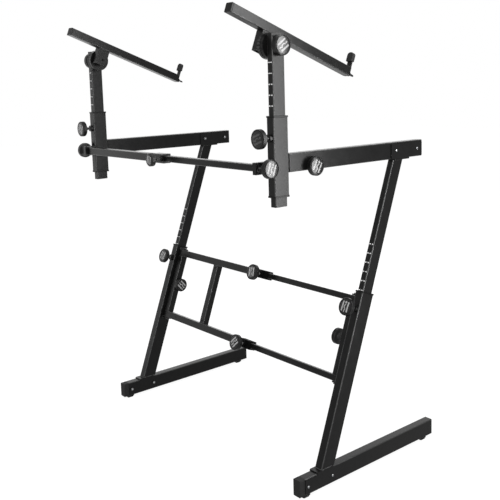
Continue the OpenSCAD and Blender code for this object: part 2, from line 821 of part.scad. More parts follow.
module stop_pad(side) {
    round_r = stop_pad_w * 0.4;
    color(rubber) on_side(side) on_tilt() difference() {
        translate([tilt_x, stop_y - stop_t - seat + stop_pad_t - 2, stop_top - stop_pad_h])
            rotate([90, 0, 0]) linear_extrude(stop_pad_t) union() {
                translate([-stop_pad_w / 2, 0]) square([stop_pad_w, stop_pad_h - round_r]);
                translate([round_r - stop_pad_w / 2, 0])
                    square([stop_pad_w - 2 * round_r, stop_pad_h]);
                for (i = [-1, 1])
                    translate([i * (stop_pad_w / 2 - round_r), stop_pad_h - round_r])
                        circle(round_r);
            }
        translate([tilt_x - stop_w / 2 - seat, stop_y - stop_t - seat,
            stop_top - stop_pad_h - 1])
            cube([stop_w + 2 * seat, stop_t + 2 * seat, stop_pad_h / 2 + 1 + seat]);
    }
}

module stop_screw(side) {
    color(plastic) on_side(side) on_tilt()
        translate([tilt_x, stop_y - stop_t - seat, tilt_offset - stop_screw_drop])
            rotate([90, 0, 0]) {
                translate([0, 0, -screw_len]) cylinder(r = screw_r, h = screw_len + 1);
                cylinder(r = wing_r, h = wing_t / 4);
                intersection() {
                    translate([-wing_r, -2, 0]) cube([2 * wing_r, 4, wing_t]);
                    cylinder(r1 = wing_r, r2 = wing_tip_r, h = wing_t);
                }
            }
}

// Second crossbar

bar_plug = 10;

module tier_bar_outer() {
    face_x = bracket_x - seat;
    color(steel) in_stand() translate([0, tier_bar_y, tier_bar_z]) {
        difference() {
            translate([-tier_reach, 0, 0]) rotate([0, 90, 0])
                square_tube(bar_s, tier_reach + face_x);
            translate([-clamp_x / 2, bar_s / 2, 0]) rotate([-90, 0, 0]) stud_hole(bar_s / 4);
        }
        difference() {
            translate([face_x - bar_plug, 0, 0]) rotate([0, 90, 0])
                linear_extrude(bar_plug)
                    round_rect(bar_s - 2 * bar_wall - 2 * seat, bar_s - 2 * bar_wall - 2 * seat, 1);
            translate([face_x - bar_plug - 1, 0, 0]) rotate([0, 90, 0])
                cylinder(r = stud_r + play, h = bar_plug + 2);
        }
    }
    color(plastic) in_stand() translate([0, tier_bar_y, tier_bar_z])
        collar(tier_reach, small_nut_r, collar_nut_h, clamp_x / 2);
}

module tier_bar_inner() {
    face_x = bracket_x - seat;
    color(steel) in_stand() translate([0, tier_bar_y, tier_bar_z]) {
        translate([-face_x, 0, 0]) rotate([0, 90, 0])
            square_tube(bar_inner_s, face_x + bar_start_x);
        difference() {
            translate([-face_x, 0, 0]) rotate([0, 90, 0])
                linear_extrude(bar_plug)
                    round_rect(bar_inner_s - 2 * bar_wall - 2 * seat,
                        bar_inner_s - 2 * bar_wall - 2 * seat, 0.9);
            translate([-face_x - 1, 0, 0]) rotate([0, 90, 0])
                cylinder(r = stud_r + play, h = bar_plug + 2);
        }
    }
}

module tier_clamp_knob() {
    color(plastic) in_stand()
        translate([-clamp_x / 2, tier_bar_y + collar_face, tier_bar_z]) rotate([-90, 0, 0])
            knob(small_knob_d, long_reach - 2, collar_face - bar_inner_s / 2 - tip_gap,
                collar_nut_h);
}

// Knobs of one side

module leg_knob(side) {
    color(plastic) on_side(side) on_leg()
        translate([frame_x, tube_h / 2, leg_knob_u]) rotate([-90, 0, 0])
            knob(knob_d, long_reach, (tube_h - inner_h) / 2 - tip_gap, boss_h);
}

module arm_knob(side) {
    stub_w = tube_w - 2 * tube_wall - 2 * stub_fit;
    color(plastic) on_side(side)
        translate([frame_x + tube_w / 2, arm_front - arm_knob_inset, arm_z - arm_knob_drop])
            rotate([0, 90, 0])
                knob(knob_d, short_reach, (tube_w - stub_w) / 2 - tip_gap, low_boss_h);
}

module post_knob(side) {
    color(plastic) on_side(side)
        translate([frame_x, sleeve_y + tube_h / 2, arm_z + post_knob_rise]) rotate([-90, 0, 0])
            knob(knob_d, long_reach, (tube_h - inner_h) / 2 - tip_gap, boss_h);
}

module tilt_knob(side) {
    seat_x = frame_x + inner_w / 2;
    color(plastic) on_side(side) translate([seat_x, sleeve_y, pivot_z]) rotate([0, 90, 0])
        knob(knob_d + 1, tilt_reach, seat_x - tilt_x - tilt_w / 2 + boss_h, 0, knob_t + 1.5, 11);
}

module end_knob(side) {
    color(plastic) on_side(side)
        translate([bracket_x + bracket_wide, tier_bar_y, tier_bar_z]) rotate([0, 90, 0])
            knob(knob_d - 1, end_reach, bracket_wide + bar_plug, 0);
}

module fold_knob(side) {
    color(plastic) on_side(side) on_leg()
        translate([hinge_x - hinge_w / 2, -bar_setback, fold_knob_u]) rotate([0, -90, 0])
            knob(knob_d - 3, fold_reach, hinge_w + hinge_space + tube_wall + 0.8, 0);
}

foot_bar(1);  // far_foot_bar
foot_rubbers(1);  // far_foot_rubbers
foot_bolts(1);  // far_foot_bolts
leg_outer(1);  // far_leg_outer
leg_bush(1);  // far_leg_bush
leg_inner(1);  // far_leg_inner
lower_arm(1);  // far_lower_arm
arm_cap(1);  // far_arm_cap
arm_bolts(1);  // far_arm_bolts
post_sleeve(1);  // far_post_sleeve
sleeve_bushes(1);  // far_sleeve_bushes
post_inner(1);  // far_post_inner
post_disc(1);  // far_post_disc
tilt_bracket(1);  // far_tilt_bracket
tilt_arm(1);  // far_tilt_arm
tilt_arm_caps(1);  // far_tilt_arm_caps
stop_plate(1);  // far_stop_plate
stop_pad(1);  // far_stop_pad
stop_screw(1);  // far_stop_screw
leg_knob(1);  // far_leg_knob
arm_knob(1);  // far_arm_knob
post_knob(1);  // far_post_knob
tilt_knob(1);  // far_tilt_knob
end_knob(1);  // far_end_knob
fold_knob(1);  // far_fold_knob
foot_bar(-1);  // near_foot_bar
foot_rubbers(-1);  // near_foot_rubbers
foot_bolts(-1);  // near_foot_bolts
leg_outer(-1);  // near_leg_outer
leg_bush(-1);  // near_leg_bush
leg_inner(-1);  // near_leg_inner
lower_arm(-1);  // near_lower_arm
arm_cap(-1);  // near_arm_cap
arm_bolts(-1);  // near_arm_bolts
post_sleeve(-1);  // near_post_sleeve
sleeve_bushes(-1);  // near_sleeve_bushes
post_inner(-1);  // near_post_inner
post_disc(-1);  // near_post_disc
tilt_bracket(-1);  // near_tilt_bracket
tilt_arm(-1);  // near_tilt_arm
tilt_arm_caps(-1);  // near_tilt_arm_caps
stop_plate(-1);  // near_stop_plate
stop_pad(-1);  // near_stop_pad
stop_screw(-1);  // near_stop_screw
leg_knob(-1);  // near_leg_knob
arm_knob(-1);  // near_arm_knob
post_knob(-1);  // near_post_knob
tilt_knob(-1);  // near_tilt_knob
end_knob(-1);  // near_end_knob
fold_knob(-1);  // near_fold_knob
hinge_tube(1);  // far_hinge_tube
hinge_tube(-1);  // near_hinge_tube
crossbar_outers();
crossbar_inners();
crossbar_collars();
clamp_knob(upper_bar_u);  // upper_clamp_knob
clamp_knob(lower_bar_u);  // lower_clamp_knob
tier_bar_outer();
tier_bar_inner();
tier_clamp_knob();
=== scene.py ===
# %% [markdown]
# # A two-tier keyboard stand in black powder coat
# This lesson dresses a measured stand made of steel tube. The measured solids come first and
# never move; each one gets a finer skin with rounded edges, and the knobs, labels, threads,
# bolts and welds are added. Run the cells in order. Everything is in metres, with +X across the
# stand, +Y away from the player, +Z up.

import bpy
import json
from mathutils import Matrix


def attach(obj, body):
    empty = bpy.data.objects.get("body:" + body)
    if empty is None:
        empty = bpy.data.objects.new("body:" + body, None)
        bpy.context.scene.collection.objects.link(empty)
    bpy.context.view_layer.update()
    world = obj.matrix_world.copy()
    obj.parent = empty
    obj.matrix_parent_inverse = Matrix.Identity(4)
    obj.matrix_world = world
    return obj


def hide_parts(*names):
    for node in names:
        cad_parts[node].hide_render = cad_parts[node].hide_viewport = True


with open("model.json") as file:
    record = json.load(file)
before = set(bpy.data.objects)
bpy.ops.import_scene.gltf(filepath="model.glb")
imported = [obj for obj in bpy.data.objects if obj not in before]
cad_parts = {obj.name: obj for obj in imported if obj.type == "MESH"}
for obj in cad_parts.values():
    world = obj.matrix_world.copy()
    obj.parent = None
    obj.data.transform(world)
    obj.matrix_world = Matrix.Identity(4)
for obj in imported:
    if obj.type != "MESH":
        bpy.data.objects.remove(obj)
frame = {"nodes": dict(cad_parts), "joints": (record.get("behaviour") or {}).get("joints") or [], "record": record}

# %% [markdown]
# ## Names for what the joints tell us
# A joint knows where its knob turns and along which line its tube slides. We could type these
# places, but we read them from the joints instead, so the looks stay on the solids if a size
# changes later.

# %% Read places and directions from the joints
import json
import math

import bmesh
import bpy
from mathutils import Matrix, Vector
from mathutils.bvhtree import BVHTree

MM = 0.001
UP = Vector((0, 0, 1))
SIDES = ("far", "near")
joints = {joint["name"]: joint for joint in frame["joints"]}
turn_of = {joint["child"]: joint for joint in frame["joints"]}
body_of = {
    node: body
    for body, nodes in frame["record"]["behaviour"]["bodies"].items()
    for node in nodes
}
slot_of = {part["node"]: part["material_slot"] for part in frame["record"]["subparts"]}
UP_LEG = Vector(joints["far_leg_height"]["axis"]).normalized()
OFF_LEG = Vector((0, UP_LEG.z, -UP_LEG.y))
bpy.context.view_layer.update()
print("the leg leans", round(math.degrees(math.atan2(-UP_LEG.y, UP_LEG.z)), 2), "degrees")

# %% [markdown]
# ## Putting a value into a socket
# A shader socket takes either a link or a plain value. `plug` tells them apart, so that every
# recipe below can pass whichever it has.

# %% Link a wire or set a value
def plug(tree, socket, value):
    """Links a wire to a socket, or sets the socket to a plain value."""
    if isinstance(value, Wire):
        tree.links.new(value.socket, socket)
    elif isinstance(value, (tuple, list)) and socket.type == "RGBA" and len(value) == 3:
        socket.default_value = (*value, 1.0)
    else:
        socket.default_value = value


print("plug is ready")

# %% [markdown]
# ## Arithmetic with shader sockets
# Node trees are easier to read as formulas. `Wire` wraps an output socket, so that
# `noise * 0.2 + 0.3` makes two Math nodes. Its `node` method makes any other node and returns
# one of its outputs as a Wire.

# %% A wire that takes part in plain arithmetic
MIX_COLOURS, MIXED_COLOUR = (6, 7), 2


class Wire:
    """One output socket of a shader tree."""

    def __init__(self, tree, socket):
        self.tree = tree
        self.socket = socket

    def node(self, kind, settings=None, output=0, **inputs):
        made = self.tree.nodes.new(kind)
        for name, value in (settings or {}).items():
            setattr(made, name, value)
        for name, value in inputs.items():
            plug(self.tree, made.inputs[name.replace("_", " ")], value)
        return Wire(self.tree, made.outputs[output])

    def math(self, operation, first, second=None):
        made = self.tree.nodes.new("ShaderNodeMath")
        made.operation = operation
        plug(self.tree, made.inputs[0], first)
        if second is not None:
            plug(self.tree, made.inputs[1], second)
        return Wire(self.tree, made.outputs[0])

    def __add__(self, other):
        return self.math("ADD", self, other)

    def __radd__(self, other):
        return self.math("ADD", other, self)

    def __sub__(self, other):
        return self.math("SUBTRACT", self, other)

    def __rsub__(self, other):
        return self.math("SUBTRACT", other, self)

    def __mul__(self, other):
        return self.math("MULTIPLY", self, other)

    def __rmul__(self, other):
        return self.math("MULTIPLY", other, self)

    def __truediv__(self, other):
        return self.math("DIVIDE", self, other)

    def __rtruediv__(self, other):
        return self.math("DIVIDE", other, self)

    def clamp(self):
        return self.math("MINIMUM", self.math("MAXIMUM", self, 0.0), 1.0)

    def above(self, edge, width):
        """0 below the edge, 1 beyond the edge plus the width."""
        return ((self - edge) / width).clamp()

    def mix(self, low, high):
        """A colour between two, by this wire."""
        made = self.tree.nodes.new("ShaderNodeMix")
        made.data_type = "RGBA"
        plug(self.tree, made.inputs["Factor"], self)
        for i, value in zip(MIX_COLOURS, (low, high)):
            plug(self.tree, made.inputs[i], value)
        return Wire(self.tree, made.outputs[MIXED_COLOUR])


print("wires now add, subtract, multiply and divide")

# %% [markdown]
# ## Grain, and rubbed edges with a painted highlight
# No coat is even. Noise on Object coordinates gives the grain and the blotches, and it needs no
# unwrapping. The coat is rubbed on rounded edges, where the `wear` attribute is 1; on the black
# coat these lighter, partly metallic edges are also a painted highlight along the corners. The
# attribute is painted on the mesh further down, and finer noise breaks it up into chips. The
# Bevel node could find the edges as well, but it renders slowly.

# %% Noise, and the coat rubbed off
OBJECT_PLACE = 3
PAINTED_VALUE = 2
CHIPS_PER_METRE = 420.0
CHIP_FROM, CHIP_FADE = 0.15, 0.7


def speckle(start, place, per_metre, detail, roughness):
    """Noise with about this many spots to a metre."""
    return start.node(
        "ShaderNodeTexNoise", Vector=place, Scale=per_metre, Detail=detail, Roughness=roughness
    )


def rubbed_edge_and_sheen(start, place):
    """1 where a rounded edge is rubbed; on the black coat this is also a painted edge highlight."""
    edge = start.node(
        "ShaderNodeAttribute", {"attribute_name": "wear"}, output=PAINTED_VALUE
    )
    chips = speckle(start, place, CHIPS_PER_METRE, 4.0, 0.7)
    return edge * chips.above(CHIP_FROM, CHIP_FADE)


print("noise and wear are ready")

# %% [markdown]
# ## One recipe for every finish
# Every finish here is a Principled shader with a grain bump, a slow variation of colour and
# roughness and, if it is asked for, rubbed edges, which on the black coat are also a painted
# highlight. One function makes them all, so that they differ only in their numbers. Numbers
# that are the same all over stay on the shader's own sockets.

# %% A function that makes a material from its recipe
BLOTCH_FROM, BLOTCH_FADE = 0.35, 0.3


def grey(value):
    return (value, value, value)


def finish_material(
    name, dark, light, rough, spread, grain, height, blotch=60 * MM,
    edge_wear_and_sheen_colour=None, edge_wear_and_sheen_rough=0.3, edge_wear_and_sheen_metal=0.0, metallic=0.0, specular=0.5,
):
    """Lengths: grain and blotch are the sizes of their spots, height is how far the grain rises."""
    material = bpy.data.materials.new(name)
    material.use_nodes = True
    tree = material.node_tree
    shader = tree.nodes["Principled BSDF"]
    shader.inputs["Metallic"].default_value = metallic
    shader.inputs["Specular IOR Level"].default_value = specular
    start = Wire(tree, None)
    place = start.node("ShaderNodeTexCoord", output=OBJECT_PLACE)
    blotches = speckle(start, place, 1 / blotch, 3.0, 0.6)
    colour = blotches.above(BLOTCH_FROM, BLOTCH_FADE).mix(dark, light)
    roughness = blotches * spread + (rough - spread / 2)
    # rubbed edges: partly wear, and on the black coat partly a painted highlight
    if edge_wear_and_sheen_colour is not None:
        edge_wear_and_sheen = rubbed_edge_and_sheen(start, place)
        colour = edge_wear_and_sheen.mix(colour, edge_wear_and_sheen_colour)
        roughness = roughness + edge_wear_and_sheen * (edge_wear_and_sheen_rough - rough)
        if edge_wear_and_sheen_metal:
            plug(tree, shader.inputs["Metallic"], edge_wear_and_sheen * edge_wear_and_sheen_metal)
    bump = start.node(
        "ShaderNodeBump", Strength=1.0, Distance=height,
        Height=speckle(start, place, 1 / grain, 2.0, 0.5),
    )
    plug(tree, shader.inputs["Base Color"], colour)
    plug(tree, shader.inputs["Roughness"], roughness)
    plug(tree, shader.inputs["Normal"], bump)
    return material


print("ready to mix finishes")

# %% [markdown]
# ## Black coats
# The tubes have a powder coat with an orange peel about a millimetre across, which is rubbed a
# little on its edges. These edges are lighter and partly metallic, and they are partly a painted
# highlight that draws the light line along each corner. Caps and bushes are moulded with a finer
# grain, the crossbars' collars are matte, and rubber is the dullest. All of them stand in a white
# room, so a black that shines as much as plain plastic would turn grey: the specular levels are
# kept low.

# %% Mix the black coats
powder = finish_material(
    "powder_coat", grey(0.005), grey(0.007), rough=0.3, spread=0.1,
    grain=1.1 * MM, height=0.03 * MM, blotch=25 * MM,
    # lighter, partly metallic edges: partly a painted highlight along the corners
    edge_wear_and_sheen_colour=grey(0.1), edge_wear_and_sheen_rough=0.3, edge_wear_and_sheen_metal=0.35, specular=0.1,
)
plastic = finish_material(
    "moulded_plastic", grey(0.004), grey(0.006), rough=0.3, spread=0.08,
    grain=0.5 * MM, height=0.012 * MM,
    edge_wear_and_sheen_colour=grey(0.02), edge_wear_and_sheen_rough=0.35, specular=0.07,
)
collar_black = finish_material(
    "matte_collar", grey(0.002), grey(0.004), rough=0.6, spread=0.1,
    grain=0.6 * MM, height=0.02 * MM,
    edge_wear_and_sheen_colour=grey(0.01), edge_wear_and_sheen_rough=0.5, specular=0.02,
)
rubber = finish_material(
    "rubber", grey(0.01), grey(0.015), rough=0.72, spread=0.12,
    grain=0.8 * MM, height=0.06 * MM, specular=0.15,
)
print(len(bpy.data.materials), "materials so far")

# %% [markdown]
# ## Knobs, bolts and studs
# A knob's drum is satin plastic and its disc is smoother. The bolts are zinc plated, their nuts
# are blackened, and the studs are dull steel. These three are metal, so their colour is that of
# their shine.

# %% Mix the knob and metal finishes
knob_side = finish_material(
    "knob_plastic", grey(0.006), grey(0.009), rough=0.34, spread=0.1,
    grain=0.4 * MM, height=0.015 * MM,
    edge_wear_and_sheen_colour=grey(0.04), edge_wear_and_sheen_rough=0.3, specular=0.1,
)
knob_face = finish_material(
    "knob_face", grey(0.008), grey(0.012), rough=0.24, spread=0.06,
    grain=0.4 * MM, height=0.006 * MM, specular=0.2,
)
zinc = finish_material(
    "zinc_plate", (0.2, 0.205, 0.215), (0.3, 0.305, 0.31), rough=0.3, spread=0.14,
    grain=0.6 * MM, height=0.01 * MM, blotch=4 * MM, metallic=1.0,
)
black_zinc = finish_material(
    "black_zinc", grey(0.05), grey(0.08), rough=0.35, spread=0.1,
    grain=0.5 * MM, height=0.01 * MM, blotch=4 * MM, metallic=1.0,
)
stud_steel = finish_material(
    "stud_steel", grey(0.03), grey(0.06), rough=0.4, spread=0.1,
    grain=0.6 * MM, height=0.02 * MM, blotch=4 * MM, metallic=1.0,
)
print(len(bpy.data.materials), "materials so far")

# %% [markdown]
# ## Printed ink
# Ink differs from the plastic and the coat below it by its shade, so its recipe is short. The
# pale one is on the knobs, and a darker one, a painted shade, on the one knob whose face lies in
# shade. The white one is for the index marks, with a faint one for the lines between them.

# %% Mix the inks
def ink_material(name, dark, light, rough=0.5, blotch=10 * MM, specular=0.5):
    return finish_material(
        name, grey(dark), grey(light), rough, 0.1,
        grain=0.3 * MM, height=0.01 * MM, blotch=blotch, specular=specular,
    )


print_pale = ink_material("pale_print", 0.36, 0.44)
print_white = ink_material("white_print", 0.8, 0.88)
# a darker print for one knob: a painted shade
print_painted_shade = ink_material(
    "painted_shade_print", 0.04, 0.08, rough=0.4, blotch=4 * MM, specular=0.2
)
print_faint = ink_material("faint_print", 0.05, 0.1)
SKIN = {
    "black_steel": powder,
    "black_plastic": plastic,
    "knob_plastic": knob_side,
    "rubber": rubber,
    "zinc_bolts": zinc,
}
print(len(bpy.data.materials), "materials in all")

# %% [markdown]
# ## Marking the rounded edges, for wear and a painted highlight
# The coat wears on rounded edges, which are strips of narrow faces, and on the black coat the
# same edges carry a painted highlight. So a vertex is marked when every face around it is
# narrow. That is true on a rounded edge and hardly anywhere else, and it needs no painting by
# hand.

# %% Mark the rounded edges
NARROW = 1.0 * MM


def face_width(face):
    longest = max(edge.calc_length() for edge in face.edges)
    return face.calc_area() / max(longest, 1e-9)


# marks rounded edges for both the wear and the painted edge highlight
def paint_edge_wear_and_sheen(bm):
    layer = bm.verts.layers.float.new("wear")
    widths = {face: face_width(face) for face in bm.faces}
    for vert in bm.verts:
        narrow = all(widths[face] < NARROW for face in vert.link_faces)
        vert[layer] = 1.0 if narrow else 0.0


print("faces under", NARROW / MM, "mm count as an edge")

# %% [markdown]
# ## From a bmesh to a finished piece
# `piece` turns a bmesh into an object that rides on its body. Edges sharper than the limit stay
# sharp, the rest are shaded smooth, and a Weighted Normal modifier keeps the flat faces flat.

# %% Make an object from a bmesh
SHARP = math.radians(38)


def piece(name, bm, material, body, slot=None, replaced=(), weighted=True):
    bmesh.ops.recalc_face_normals(bm, faces=bm.faces)
    paint_edge_wear_and_sheen(bm)
    for face in bm.faces:
        face.smooth = True
    for edge in bm.edges:
        edge.smooth = edge.is_manifold and edge.calc_face_angle(0.0) < SHARP
    mesh = bpy.data.meshes.new(name)
    bm.to_mesh(mesh)
    bm.free()
    mesh.materials.append(material)
    made = bpy.data.objects.new(name, mesh)
    bpy.context.scene.collection.objects.link(made)
    if weighted:
        modifier = made.modifiers.new("flat_faces", "WEIGHTED_NORMAL")
        modifier.keep_sharp = True
    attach(made, body)
    if replaced:
        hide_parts(*replaced)
    return made


print("pieces are ready to be made")

# %% [markdown]
# ## A finer skin for each measured solid
# Real tube has no knife edges. A solid arrives as loose triangles, so we copy it, merge its
# corners, dissolve the lines across flat faces and bevel its sharp edges by a fraction of a
# millimetre. They then catch the light as real ones do. A Bevel modifier could do it too, but
# the wear and the painted edge highlight are laid on the rounded edges themselves, so they
# have to be in the mesh.

# %% Copy a solid and round its edges
FLAT = math.radians(0.4)
EDGE = math.radians(40)
SAME_POINT = 0.002 * MM
ROUNDING = 0.35 * MM


def merged(node):
    """A copy of a solid, with its corners joined and its flat faces whole."""
    bm = bmesh.new()
    bm.from_mesh(frame["nodes"][node].data)
    bmesh.ops.remove_doubles(bm, verts=bm.verts, dist=SAME_POINT)
    bmesh.ops.dissolve_limit(bm, angle_limit=FLAT, verts=bm.verts, edges=bm.edges)
    return bm


def soften(bm, edges, width):
    bmesh.ops.bevel(
        bm, geom=edges, offset=width, offset_type="OFFSET", affect="EDGES",
        segments=2, profile=0.5, clamp_overlap=True, material=-1,
    )


def skin(node, material=None):
    bm = merged(node)
    sharp = [
        edge for edge in bm.edges
        if edge.is_manifold and edge.calc_face_angle(0.0) > EDGE
    ]
    soften(bm, sharp, ROUNDING)
    slot = slot_of[node]
    return piece(
        node + "_skin", bm, material or SKIN[slot], body_of[node], slot, (node,)
    )


print("edges are rounded by", ROUNDING / MM, "mm")

# %% [markdown]
# ## The skins
# Knobs and bolts are built anew below, because the measured ones are plain. Every other solid
# gets its skin here, in the finish of its slot. The crossbars' collars are the only ones with a
# finish of their own.

# %% Skin the tubes, caps, bushes and pads
KNOBS = [node for node in frame["nodes"] if node.endswith("_knob")]
BOLTS = [node for node in frame["nodes"] if node.endswith("_bolts")]
MATTE = ("crossbar_collars",)
skins = {
    node: skin(node, material=collar_black if node in MATTE else None)
    for node in frame["nodes"]
    if node not in KNOBS and node not in BOLTS
}
print(len(skins), "solids have a finer skin")

# %% [markdown]
# ## Turned shapes
# Knobs, studs and bolts are turned parts. A cylinder could be bevelled, but a profile of a few
# points that is spun about its axis gives their true edge radii. `stand_at` gives the matrix
# that lays the axis along a line, with the shape's own Y turned as close to upwards as it can
# be.

# %% Spin a profile about a line
AT_ONE_POINT = 0.001 * MM
NEARLY_UPRIGHT = 0.9


def stand_at(point, axis, turn=0.0):
    z = Vector(axis).normalized()
    up = UP if abs(z.z) < NEARLY_UPRIGHT else Vector((0, 1, 0))
    x = up.cross(z).normalized()
    y = z.cross(x)
    basis = Matrix((x, y, z)).transposed().to_4x4()
    return Matrix.Translation(point) @ basis @ Matrix.Rotation(turn, 4, "Z")


def on_axis(point, matrix):
    local = matrix.inverted() @ point
    return math.hypot(local.x, local.y) < AT_ONE_POINT


def turned(bm, profile, segments, matrix):
    """Spins (height, radius) points; the profile starts and ends on the axis to be closed."""
    verts = [
        bm.verts.new(matrix @ Vector((radius, 0, height))) for height, radius in profile
    ]
    edges = [bm.edges.new(pair) for pair in zip(verts, verts[1:])]
    bmesh.ops.spin(
        bm, geom=verts + edges, cent=matrix.translation, axis=matrix.to_3x3().col[2],
        dvec=(0, 0, 0), angle=2 * math.pi, steps=segments,
        use_merge=True, use_duplicate=False,
    )
    poles = [vert for vert in bm.verts if on_axis(vert.co, matrix)]
    bmesh.ops.remove_doubles(bm, verts=poles, dist=AT_ONE_POINT)
    return bm


def arc(height, radius, size, start, end, steps=4):
    """Rows of a round, centred at this height and radius; 0 degrees looks away from the axis."""
    angles = [math.radians(start + (end - start) * i / steps) for i in range(steps + 1)]
    return [(height + size * math.sin(a), radius + size * math.cos(a)) for a in angles]


print("shapes can now be turned")

# %% [markdown]
# ## Flat shapes
# Printed marks are flat outlines. Each is made as one face and extruded, so that it has a
# thickness and can't flicker in the face that it lies on.

# %% Extrude an outline
def verts_of(geometry):
    return [part for part in geometry if isinstance(part, bmesh.types.BMVert)]


def lift_face(bm, face, rise):
    """Extrudes a face and keeps the old one as the bottom; returns the new vertices."""
    grown = bmesh.ops.extrude_face_region(bm, geom=[face], use_keep_orig=True)["geom"]
    bmesh.ops.translate(bm, verts=verts_of(grown), vec=rise)
    return verts_of(grown)


def slab(bm, outline, low, high, matrix):
    """Extrudes a flat outline from one height to another."""
    face = bm.faces.new([bm.verts.new(matrix @ Vector((x, y, low))) for x, y in outline])
    lift_face(bm, face, matrix.to_3x3() @ Vector((0, 0, high - low)))


def rectangle(cx, cy, w, h):
    return [
        (cx - w / 2, cy - h / 2), (cx + w / 2, cy - h / 2),
        (cx + w / 2, cy + h / 2), (cx - w / 2, cy + h / 2),
    ]


print("outlines can now be extruded")

# %% [markdown]
# ## How far a solid reaches
# The knobs take their place, length and radius from the solids that they stand for.
# `span_along` measures a solid along an axis: how far it reaches where it is wider than a given
# radius, and its widest.

# %% Measure a solid along an axis
def span_along(node, point, axis, beyond=0.0):
    """The lowest and highest reach where the solid is wider than this, and its largest radius."""
    axis = Vector(axis).normalized()
    low, high, widest = math.inf, -math.inf, 0.0
    for vert in frame["nodes"][node].data.vertices:
        offset = vert.co - Vector(point)
        along = offset.dot(axis)
        radius = (offset - axis * along).length
        if radius > beyond:
            low, high = min(low, along), max(high, along)
        widest = max(widest, radius)
    return low, high, widest


for node in KNOBS:
    joint = turn_of[body_of[node]]
    print(node, "is", round(2 * span_along(node, joint["pos_m"], joint["axis"])[2] / MM), "mm wide")

# %% [markdown]
# ## The outline of a knob
# A real knob is a moulded drum with a sloping rim round a glossy disc, on a tapered hub. Drum
# and disc are separate parts, so each has its own profile. The disc is domed by about a
# millimetre, which is what makes it shine from many sides; a flat disc would flash from one
# side only.

# %% Draw the profiles of drum and disc
DRUM = 13 * MM
EDGE_R = 1.6 * MM
SLOPE_W, SLOPE_H = 2.2 * MM, 1.2 * MM
SLOPE_STEEP = 70
LIP_W, LIP_DROP = 0.5 * MM, 0.3 * MM
DISC_SINK, DISC_GAP = 1.6 * MM, 0.35 * MM
DRAFT = 0.1 * MM
BREAK = 0.6 * MM
HUB_R, HUB_SHARE = 12 * MM, 0.52
DOME_R, DOME_STEPS = 150 * MM, 12
SEAT_LIFT = 0.02 * MM


def dome_height(face, radius):
    return face - radius * radius / (2 * DOME_R)


def drum_profile(face, radius, drum, hub_tip, hub_end):
    back = face - drum
    shoulder = face - SLOPE_H
    disc = radius - EDGE_R - SLOPE_W
    hub_r = min(HUB_R, radius * HUB_SHARE)
    rows = [(hub_end, 0), (hub_end, hub_tip - BREAK), (hub_end + BREAK, hub_tip)]
    rows += [(back - 2 * BREAK, hub_r - BREAK), (back, hub_r + MM)]
    rows += arc(back + EDGE_R, radius - EDGE_R, EDGE_R, -90, 0)
    rows += arc(shoulder - EDGE_R, radius - EDGE_R, EDGE_R, 0, SLOPE_STEEP)
    rows += [(face - LIP_DROP, disc + LIP_W), (face - LIP_W, disc)]
    rows += [(face - DISC_SINK, disc - DRAFT), (face - DISC_SINK, 0)]
    return rows


def disc_profile(face, disc):
    seat = face - DISC_SINK + SEAT_LIFT
    radii = [disc * i / DOME_STEPS for i in range(DOME_STEPS, -1, -1)]
    return [(seat, 0), (seat, disc)] + [(dome_height(face, r), r) for r in radii]


print("a drum is", round(DRUM / MM), "mm deep and its rim slopes over", SLOPE_W / MM, "mm")

# %% [markdown]
# ## Studs and grip ribs
# The knob clamps with a threaded stud. At this size rings look the same as a helix and they
# turn as one profile, so the thread is a zigzag of rings. The drum's wall has fine ribs for the
# fingers: it is spun with two lines to a rib, and every second line is pulled inwards.

# %% Cut the thread and the ribs
STUD_R = 3.9 * MM
PITCH, THREAD_DEEP = 1.25 * MM, 0.5 * MM
TIP_TAPER = 0.9 * MM
RIBS, RIB_DEEP = 60, 0.35 * MM
ON_WALL = 0.05 * MM


def thread_profile(low, high):
    rows = [(low, 0), (low, STUD_R - TIP_TAPER), (low + BREAK, STUD_R)]
    for i in range(int((high - low - 2 * BREAK) / PITCH)):
        foot = low + BREAK + i * PITCH
        rows += [(foot + PITCH / 2, STUD_R - THREAD_DEEP), (foot + PITCH, STUD_R)]
    return rows + [(high, STUD_R - DRAFT), (high, 0)]


def cut_ribs(bm, radius, matrix):
    back, turn = matrix.inverted(), matrix.to_3x3()
    for vert in bm.verts:
        local = back @ vert.co
        reach = math.hypot(local.x, local.y)
        line = round(math.atan2(local.y, local.x) / (math.pi / RIBS))
        if reach > radius - ON_WALL and line % 2:
            vert.co -= turn @ Vector((local.x, local.y, 0)) * (RIB_DEEP / reach)


print(RIBS, "ribs round a drum and a thread of", PITCH / MM, "mm to a turn")

# %% [markdown]
# ## Turning the knobs
# Fifteen knobs come from one function, because they differ only in place, radius and turn. Each
# is left as its user tightened it, so no two signs stand alike. The tilt knobs are deeper and
# have a wider hub.

# %% Turn the knobs
HUB_LENGTH = 12 * MM
HUB_TIP, TILT_HUB_TIP = 7 * MM, 11 * MM
TILT_EXTRA = 2 * MM
WIDER_THAN_STUD = 5 * MM
STUD_SIDES, DISC_SIDES = 24, 72
LEFT_AT = {
    "near_tilt_knob": 35, "near_end_knob": 70, "near_arm_knob": 61, "near_post_knob": 20,
    "near_leg_knob": 84, "near_fold_knob": 30, "far_tilt_knob": 20, "far_end_knob": 60,
    "far_arm_knob": 10, "far_post_knob": 70, "far_leg_knob": 80, "far_fold_knob": -50,
    "upper_clamp_knob": 100, "lower_clamp_knob": 50, "tier_clamp_knob": 75,
}


